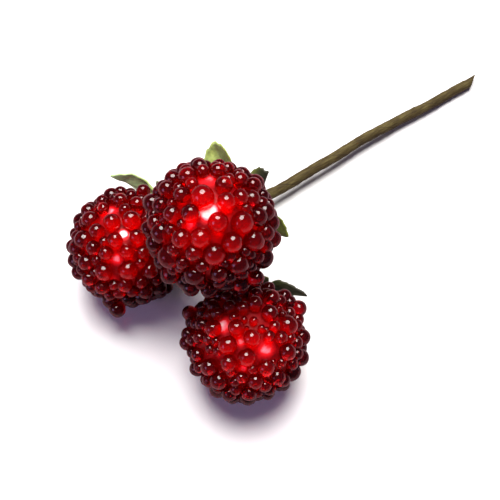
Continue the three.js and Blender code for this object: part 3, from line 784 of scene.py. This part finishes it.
def calyx_surface(name, berry, settings):
    """A star of five sepals round the wire, as a closed shell on a grid of rings and turns.
    A ring runs from the wire hole to the star's toothed outline. A point bends round the berry as it
    goes out, each sepal folds along its rib and twists, and the cloth ripples a little."""
    back = unit(berry["back"])
    across = unit(np.cross((0, 0, 1), back))
    along = np.cross(back, across)
    middle = berry_centre(name) + back * (berry["radius"] + CALYX_OFFSET)
    sepals = np.array(berry["sepals"], float)
    turns, tips, bends, folds, twists, shades, fullness_before, fullness_after = sepals.T
    count = len(sepals)
    place = np.arange(count * SEPAL_COLUMNS) / SEPAL_COLUMNS
    before = place.astype(int)
    after = (before + 1) % count
    between = place - before
    turn = np.radians(turns[before] + (turns[after] - turns[before]) % 360 * between)
    blend = 0.5 - 0.5 * np.cos(math.pi * between)
    bend = bends[before] * (1 - blend) + bends[after] * blend
    # Each sepal's painted shade and painted light, blended between neighbours
    shade = shades[before] * (1 - blend) + shades[after] * blend
    mine = np.where(between < 0.5, before, after)
    signed = np.where(between < 0.5, between, between - 1)
    off_rib = np.abs(signed)
    fullness = np.where(between < 0.5, fullness_after[before], fullness_before[after])
    taper = 1 - (2 * off_rib) ** fullness
    tooth = settings.tooth * ((off_rib * SEPAL_TEETH) % 1) * (off_rib > TOOTHLESS)
    edge = CALYX_NOTCH + (tips[mine] * MM - CALYX_NOTCH) * taper - tooth
    rings = np.linspace(0, 1, SEPAL_RINGS) ** RING_POWER
    reach = CALYX_HOLE + (edge - CALYX_HOLE)[None] * rings[:, None]
    angle = (bend[None] * reach / MM)[..., None]
    bend_radius = (MM / bend)[None, :, None]
    outward = (across * np.cos(turn)[:, None] + along * np.sin(turn)[:, None])[None]
    flat = middle + outward * np.sin(angle) * bend_radius - back * (1 - np.cos(angle)) * bend_radius
    normal = outward * np.sin(angle) + back * np.cos(angle)
    width = reach * 2 * off_rib[None]
    lift = folds[mine][None] * FOLD_SHARE * width * smooth(*FOLD_RISE, rings)[:, None]
    lift += twists[mine][None] * TWIST_SHARE * signed[None] * reach * rings[:, None]
    lift *= smooth(*NOTCH_FADE, off_rib)[None]
    ripple = wave_noise(flat.reshape(-1, 3), RIPPLE_LENGTH, berry["seed"] + 5).reshape(lift.shape)
    lift += RIPPLE_HEIGHT * ripple * rings[:, None]
    half = settings.thickness / 2
    points = np.vstack([(flat + normal * (lift + side)[..., None]).reshape(-1, 3) for side in (-half, half)])
    rows, columns = reach.shape
    inner = grid_faces(rows, columns)
    far = rows * columns
    first = np.arange(columns)
    following = (first + 1) % columns
    rim = far - columns
    outer_wall = np.stack([rim + first, rim + following, far + rim + following, far + rim + first], 1)
    hole_wall = np.stack([following, first, far + first, far + following], 1)
    faces = [inner, inner[:, ::-1] + far, outer_wall, hole_wall]
    uv = np.stack([np.broadcast_to(signed + 0.5, reach.shape),
                   np.broadcast_to(rings[:, None], reach.shape)], -1).reshape(-1, 2)
    return points, faces, np.vstack([uv, uv]), np.tile(shade, 2 * rows)


def stem_rings(settings):
    """Rings of the stem and its map. The radius falls from the binding to the slim stem, carries the
    tape's spiral and wrinkles, and the rings are drawn back to the slanting cut."""
    route = [source_point(place) for place in (BINDING_START, *STEM_ROUTE)]
    line, far = curve_through(route, STEM_STEPS)
    radius = settings.binding + (settings.radius - settings.binding) * smooth(*BINDING_END, far)
    radius = radius * (1 - STEM_TAPER * far / far[-1])
    radius = radius * (1 - TIP_TAPER * smooth(TIP_LENGTH, 0, far))
    radii = tape_radii(far, STEM_COLUMNS, radius, settings.pitch, settings.step)
    rings, around, tangent = tube_grid(line, radii, (0, 0, 1))
    wrinkle = wave_noise(rings.reshape(-1, 3), STEM_WRINKLE_LENGTH, 4).reshape(radii.shape)
    rings = rings + around * (STEM_WRINKLE * wrinkle)[..., None]
    cut = source_point(CUT_MIDDLE)
    face = np.array((math.cos(CUT_SLANT), -math.sin(CUT_SLANT), 0))
    past = (rings - cut) @ face
    pull = np.maximum(past, 0) / np.maximum(tangent[:, None] @ face, CUT_STEEPEST)
    rings = rings - tangent[:, None] * pull[..., None]
    beyond = (rings - cut) @ tangent[-1] - CUT_BLUNTNESS
    rings = rings - tangent[-1] * np.maximum(beyond, 0)[..., None]
    rings[..., 2] = np.maximum(rings[..., 2], STEM_LIFT)
    keep = past.min(1) < 0
    return rings[keep], tape_turns(far, STEM_COLUMNS, settings.pitch, TAPE_PHASE)[keep]


def wire_rings(name, berry, settings):
    """Rings of a wrapped wire and its map, from inside the foam ball along its route into the binding."""
    centre = berry_centre(name)
    back = unit(berry["back"])
    core = berry["radius"] - WIRE_CORE_DEPTH
    angle = math.radians(berry["wire_place"])
    inside = source_point(BINDING_START) + WIRE_PITCH * np.array((0, math.cos(angle), math.sin(angle)))
    route = [centre + back * (core - depth) for depth in WIRE_IN_CORE]
    route += [centre + back * (berry["radius"] + CALYX_OFFSET)]
    route += [source_point(place) for place in berry["route"]]
    route += [inside, inside + np.array((WIRE_OVERLAP, 0, 0))]
    line, far = curve_through(route, WIRE_STEPS)
    radii = tape_radii(far, WIRE_COLUMNS, np.full(len(far), settings.wire), settings.wire_pitch,
                       settings.wire_step)
    rings, _, _ = tube_grid(line, radii, unit(np.cross(back, WIRE_UP)))
    return rings, tape_turns(far, WIRE_COLUMNS, settings.wire_pitch, 0)


def area_lamp(name, direction, distance, size, strength, colour):
    """A disc lamp that shines at the middle of the spray from a direction."""
    data = bpy.data.lights.new(name, "AREA")
    data.shape = "DISK"
    data.size = size
    data.energy = strength
    data.color = colour
    lamp = bpy.data.objects.new(name, data)
    bpy.context.scene.collection.objects.link(lamp)
    direction = unit(direction)
    lamp.location = LAMP_TARGET + direction * distance
    lamp.rotation_mode = "QUATERNION"
    lamp.rotation_quaternion = Vector(direction).to_track_quat("Z", "Y")


def add_floor(settings):
    """A flat round floor, as a ring of points. Gloss shows it darker and warmer than it is, as a painted
    reflection of shaded floor.
    """
    angle = np.linspace(0, 2 * math.pi, FLOOR_CORNERS, endpoint=False)
    ring = FLOOR_RADIUS * np.stack([np.cos(angle), np.sin(angle), np.zeros(FLOOR_CORNERS)], 1)
    mesh = bpy.data.meshes.new("floor")
    mesh.from_pydata(ring.tolist(), [], [list(range(FLOOR_CORNERS))])
    floor = bpy.data.objects.new("floor", mesh)
    bpy.context.scene.collection.objects.link(floor)
    n = Nodes("pale_floor")
    # Painted reflection: glossy rays see the floor darker and warmer
    reflected = n.add("ShaderNodeLightPath").outputs["Is Glossy Ray"]
    colour = n.mix(reflected, (*settings.floor, 1), (*settings.floor_in_gloss, 1))
    body = n.add("ShaderNodeBsdfPrincipled", Base_Color=colour, Roughness=0.9)
    body.inputs["Specular IOR Level"].default_value = 0.1
    mesh.materials.append(n.finish(body))


def add_room(settings):
    """Dim light from all round, with a pale backdrop behind what is seen."""
    world = bpy.data.worlds.new("room")
    bpy.context.scene.world = world
    world.use_nodes = True
    tree = world.node_tree
    tree.nodes.clear()
    out = tree.nodes.new("ShaderNodeOutputWorld")
    path = tree.nodes.new("ShaderNodeLightPath")
    mixed = tree.nodes.new("ShaderNodeMixShader")
    tree.links.new(path.outputs["Is Camera Ray"], mixed.inputs[0])
    lights = ((1, settings.room, settings.room_strength), (2, settings.backdrop, 1.0))
    for socket, colour, strength in lights:
        light = tree.nodes.new("ShaderNodeBackground")
        light.inputs["Color"].default_value = (*colour, 1)
        light.inputs["Strength"].default_value = strength
        tree.links.new(light.outputs[0], mixed.inputs[socket])
    tree.links.new(mixed.outputs[0], out.inputs[0])


def add_camera():
    """The camera that the photo was measured with."""
    scene = bpy.context.scene
    camera = bpy.data.objects.new("camera", bpy.data.cameras.new("camera"))
    scene.collection.objects.link(camera)
    camera.location = CAMERA_PLACE
    camera.rotation_mode = "QUATERNION"
    camera.rotation_quaternion = Vector(-VIEW_BACK).to_track_quat("-Z", "Y")
    camera.data.sensor_width = SENSOR_WIDTH
    camera.data.lens = PHOTO_FOCAL / PHOTO_SIZE * SENSOR_WIDTH
    camera.data.clip_start = NEAREST_SEEN
    camera.data.clip_end = FARTHEST_SEEN
    scene.camera = camera


def length(name, description, millimetres):
    """A property that holds a length, from its default in millimetres."""
    return bpy.props.FloatProperty(
        name=name, description=description, default=millimetres * MM, min=0, unit="LENGTH", precision=5)


def share(name, description, default, most=1.0):
    """A property that holds a share or another plain number."""
    return bpy.props.FloatProperty(
        name=name, description=description, default=default, min=0, max=most, subtype="FACTOR", precision=3)


def tint(name, description, *default):
    """A property that holds a colour."""
    return bpy.props.FloatVectorProperty(
        name=name, description=description, subtype="COLOR", default=default, min=0, max=1)


class BeadSettings(bpy.types.PropertyGroup):
    """The beads, the glue drops and the glass that both are of"""
    count: bpy.props.IntProperty(name="Beads", description="Beads on each berry", default=150, min=80)
    smallest: length("Smallest", "Smallest bead radius on the far side", 1.15)
    largest: length("Largest", "Largest bead radius on the far side", 1.85)
    spread: share("Spread", "Distance at which beads stop pushing, in radii", 0.96, 2.0)
    rounds: bpy.props.IntProperty(name="Rounds", description="Rounds of pushing", default=120, min=0)
    core_depth: length("Core depth", "From the outside of the beads to the foam", 2.7)
    perch: share("Perch", "Height of a small bead's middle over the foam, in radii", 0.8, 2.0)
    fillers: bpy.props.IntProperty(
        name="Fillers", description="Most small beads in the gaps", default=32, min=0)
    filler_smallest: length("Smallest filler", "Smallest filler radius", 0.85)
    filler_largest: length("Largest filler", "Largest filler radius", 1.2)
    filler_overlap: share("Filler room", "Share of a neighbour's radius that a filler keeps off", 0.8)
    drops: bpy.props.IntProperty(
        name="Glue drops", description="Drops of glue strewn on each berry", default=150, min=1)
    roughness: share("Roughness", "Roughness of the glass", 0.02)
    ior: share("Index", "Refractive index of the glass", 1.42, 3.0)
    focus: length("Focus", "How far behind a bead its light stays bright", 4.5)
    body: share("Clearness", "Share of the light that goes through, the rest is scattered", 0.955)
    glass: tint("Glass", "Colour of the glass", 0.72, 0.004, 0.008)
    shine_through: tint("Shine through", "Colour of the light behind the beads", 0.82, 0.022, 0.036)


class FoamSettings(bpy.types.PropertyGroup):
    """The colours of the foam balls"""
    foam: tint("Foam", "Clean foam", 0.96, 0.88, 0.87)
    blush: tint("Blush", "Lightly stained foam", 0.93, 0.26, 0.33)
    stain: tint("Stain", "Stained foam", 0.86, 0.012, 0.02)


class LeafSettings(bpy.types.PropertyGroup):
    """The cloth of the calyxes"""
    thickness: length("Thickness", "Cloth thickness", 0.32)
    tooth: length("Teeth", "Depth of the teeth along the edge", 0.42)
    leaf: tint("Green", "Main green", 0.30, 0.36, 0.042)
    leaf_light: tint("Light green", "Light mottling", 0.44, 0.52, 0.085)
    leaf_dark: tint("Dark green", "Dark mottling", 0.17, 0.20, 0.018)
    # The colours that a sepal's painted light and painted shade fade to
    pale: tint("Pale sepal", "What the palest sepal fades to", 0.52, 0.72, 0.34)
    shaded: tint("Dark sepal", "What the darkest sepal fades to", 0.014, 0.014, 0.004)


class StemSettings(bpy.types.PropertyGroup):
    """The taped stem and the wrapped wires"""
    radius: length("Radius", "Radius of the stem", 1.17)
    binding: length("Binding", "Radius of the binding", 1.72)
    pitch: length("Tape pitch", "Advance of a turn of tape on the stem", 13.3)
    step: length("Tape step", "Height of the tape's edge on the stem", 0.12)
    wire: length("Wire", "Radius of a wrapped wire", 0.4)
    wire_pitch: length("Wire tape pitch", "Advance of a turn of tape on a wire", 2.2)
    wire_step: length("Wire tape step", "Height of the tape's edge on a wire", 0.05)
    tape_dark: tint("Dark tape", "Dark streaks of the stem's tape", 0.030, 0.018, 0.006)
    tape: tint("Tape", "Main colour of the stem's tape", 0.060, 0.043, 0.013)
    tape_light: tint("Light tape", "Light streaks of the stem's tape", 0.120, 0.095, 0.032)
    wrap_dark: tint("Dark wrap", "Dark streaks of the wires' tape", 0.040, 0.030, 0.009)
    wrap: tint("Wrap", "Main colour of the wires' tape", 0.070, 0.055, 0.017)
    wrap_light: tint("Light wrap", "Light streaks of the wires' tape", 0.12, 0.098, 0.030)


class StageSettings(bpy.types.PropertyGroup):
    """The floor, the lamps and the surroundings"""
    floor: tint("Floor", "Colour of the floor", 0.86, 0.86, 0.87)
    # The floor in gloss is a painted reflection of shaded floor
    floor_in_gloss: tint("Floor in gloss", "Colour of the floor in the beads' gloss", 0.36, 0.22, 0.25)
    key: tint("Key lamp", "Colour of the key lamp", 1.0, 0.97, 0.93)
    key_power: bpy.props.FloatProperty(
        name="Key power", description="Power of the key lamp", default=34, min=0, unit="POWER")
    fill: tint("Fill lamp", "Colour of the fill lamp", 0.72, 0.52, 1.0)
    fill_power: bpy.props.FloatProperty(
        name="Fill power", description="Power of the fill lamp", default=1.9, min=0, unit="POWER")
    room: tint("Room", "Colour of the light from all round", 0.62, 0.52, 0.80)
    room_strength: share("Room strength", "Strength of the light from all round", 0.14)
    backdrop: tint("Backdrop", "Colour behind the floor", 0.93, 0.93, 0.95)


class RaspberrySettings(bpy.types.PropertyGroup):
    """The settings of all pieces"""
    beads: bpy.props.PointerProperty(name="Beads", description="Beads and glue", type=BeadSettings)
    foam: bpy.props.PointerProperty(name="Foam", description="Foam balls", type=FoamSettings)
    leaves: bpy.props.PointerProperty(name="Leaves", description="Calyxes", type=LeafSettings)
    stem: bpy.props.PointerProperty(name="Stem", description="Stem and wires", type=StemSettings)
    stage: bpy.props.PointerProperty(name="Stage", description="Floor and light", type=StageSettings)


class RASPBERRY_OT_stage(bpy.types.Operator):
    """Add the pale floor, the lamps, the surroundings and the camera"""
    bl_idname = "raspberry.stage"
    bl_label = "Stage"

    def execute(self, context):
        settings = context.scene.raspberry.stage
        add_floor(settings)
        area_lamp("key", KEY_DIRECTION, KEY_DISTANCE, KEY_SIZE, settings.key_power, settings.key)
        area_lamp("fill", FILL_DIRECTION, FILL_DISTANCE, FILL_SIZE, settings.fill_power, settings.fill)
        add_room(settings)
        add_camera()
        scene = context.scene
        scene.view_settings.view_transform = "Standard"
        scene.cycles.transparent_max_bounces = SHADOW_LAYERS
        scene.cycles.max_bounces = GLASS_BOUNCES
        scene.cycles.transmission_bounces = GLASS_BOUNCES
        return {"FINISHED"}


class RASPBERRY_OT_cores(bpy.types.Operator):
    """Add the foam ball inside each berry"""
    bl_idname = "raspberry.cores"
    bl_label = "Foam balls"

    def execute(self, context):
        settings = context.scene.raspberry
        finish = stained_foam(settings.foam)
        for name, berry in BERRIES.items():
            centre = berry_centre(name)
            core = berry["radius"] - settings.beads.core_depth
            ways, points, faces = foam_surface(berry, centre, core)
            piece = new_piece("foam_ball_" + name, points, faces, ["core_" + name], finish)
            # Stain, with painted shade under the beads, for the material to read
            add_values(piece, "stain", foam_stain_and_shade(berry, centre, core, ways))
        return {"FINISHED"}


class RASPBERRY_OT_beads(bpy.types.Operator):
    """Add the glass beads and glue drops of each berry"""
    bl_idname = "raspberry.beads"
    bl_label = "Beads"

    def execute(self, context):
        settings = context.scene.raspberry.beads
        finish = bead_glass(settings)
        for name, berry in BERRIES.items():
            centre, places, radii, tone, rng = settle_beads(name, berry, settings)
            points, faces = balls(places, radii, rng.uniform(-1, 1, (len(places), 7)))
            piece = new_piece("beads_glass_" + name, points, [faces], ["beads_" + name],
                              finish)
            # The tone is each bead's own tone with its painted glow
            add_values(piece, "tone", bead_tone_and_glow(name, berry, points, places, tone))
            add_subdivision(piece, BEAD_ROUNDING)
            spots, small = strew_drops(berry, centre, places, radii, settings, rng)
            points, faces = balls(spots, small, rng.uniform(-1, 1, (len(spots), 7)))
            drops = new_piece("glue_drops_" + name, points, [faces], [], finish)
            add_values(drops, "tone", np.full(len(points), DROP_TONE))
            add_subdivision(drops, DROP_ROUNDING)
        return {"FINISHED"}


class RASPBERRY_OT_calyxes(bpy.types.Operator):
    """Add the cloth calyx behind each berry"""
    bl_idname = "raspberry.calyxes"
    bl_label = "Calyxes"

    def execute(self, context):
        settings = context.scene.raspberry.leaves
        finish = leaf_cloth(settings)
        for name, berry in BERRIES.items():
            points, faces, uv, shade = calyx_surface(name, berry, settings)
            piece = new_piece("calyx_cloth_" + name, points, faces, ["calyx_" + name],
                              finish, uv)
            # The painted shade and painted light of each sepal
            add_values(piece, "shade", shade)
        return {"FINISHED"}


class RASPBERRY_OT_wires(bpy.types.Operator):
    """Add the wrapped wires from the berries to the stem"""
    bl_idname = "raspberry.wires"
    bl_label = "Wires"

    def execute(self, context):
        settings = context.scene.raspberry.stem
        finish = paper_tape("wire_wrap", settings.wrap_dark, settings.wrap, settings.wrap_light)
        for name, berry in BERRIES.items():
            rings, uv = wire_rings(name, berry, settings)
            closed_tube("wrapped_wire_" + name, rings, uv, ["wire_" + name], finish)
        return {"FINISHED"}


class RASPBERRY_OT_stem(bpy.types.Operator):
    """Add the taped stem with its binding and cut end"""
    bl_idname = "raspberry.stem"
    bl_label = "Stem"

    def execute(self, context):
        settings = context.scene.raspberry.stem
        finish = paper_tape("stem_tape", settings.tape_dark, settings.tape, settings.tape_light)
        rings, uv = stem_rings(settings)
        closed_tube("taped_stem", rings, uv, ["stem"], finish)
        return {"FINISHED"}


STEPS = ("stage", "cores", "beads", "calyxes", "wires", "stem")


class RASPBERRY_PT_panel(bpy.types.Panel):
    """The pieces of the spray"""
    bl_label = "Raspberry spray"
    bl_space_type = "VIEW_3D"
    bl_region_type = "UI"
    bl_category = "Raspberry"

    def draw(self, context):
        for step in STEPS:
            self.layout.operator("raspberry." + step)


CLASSES = (
    BeadSettings, FoamSettings, LeafSettings, StemSettings, StageSettings, RaspberrySettings,
    RASPBERRY_OT_stage, RASPBERRY_OT_cores, RASPBERRY_OT_beads, RASPBERRY_OT_calyxes,
    RASPBERRY_OT_wires, RASPBERRY_OT_stem, RASPBERRY_PT_panel,
)


def register():
    """Make the classes and the settings known."""
    for cls in CLASSES:
        bpy.utils.register_class(cls)
    bpy.types.Scene.raspberry = bpy.props.PointerProperty(type=RaspberrySettings)


def unregister():
    """Take them away again."""
    del bpy.types.Scene.raspberry
    for cls in reversed(CLASSES):
        bpy.utils.unregister_class(cls)


def main():
    """Build the stage and every piece."""
    register()
    for step in STEPS:
        getattr(bpy.ops.raspberry, step)()


if __name__ == "__main__":
    main()
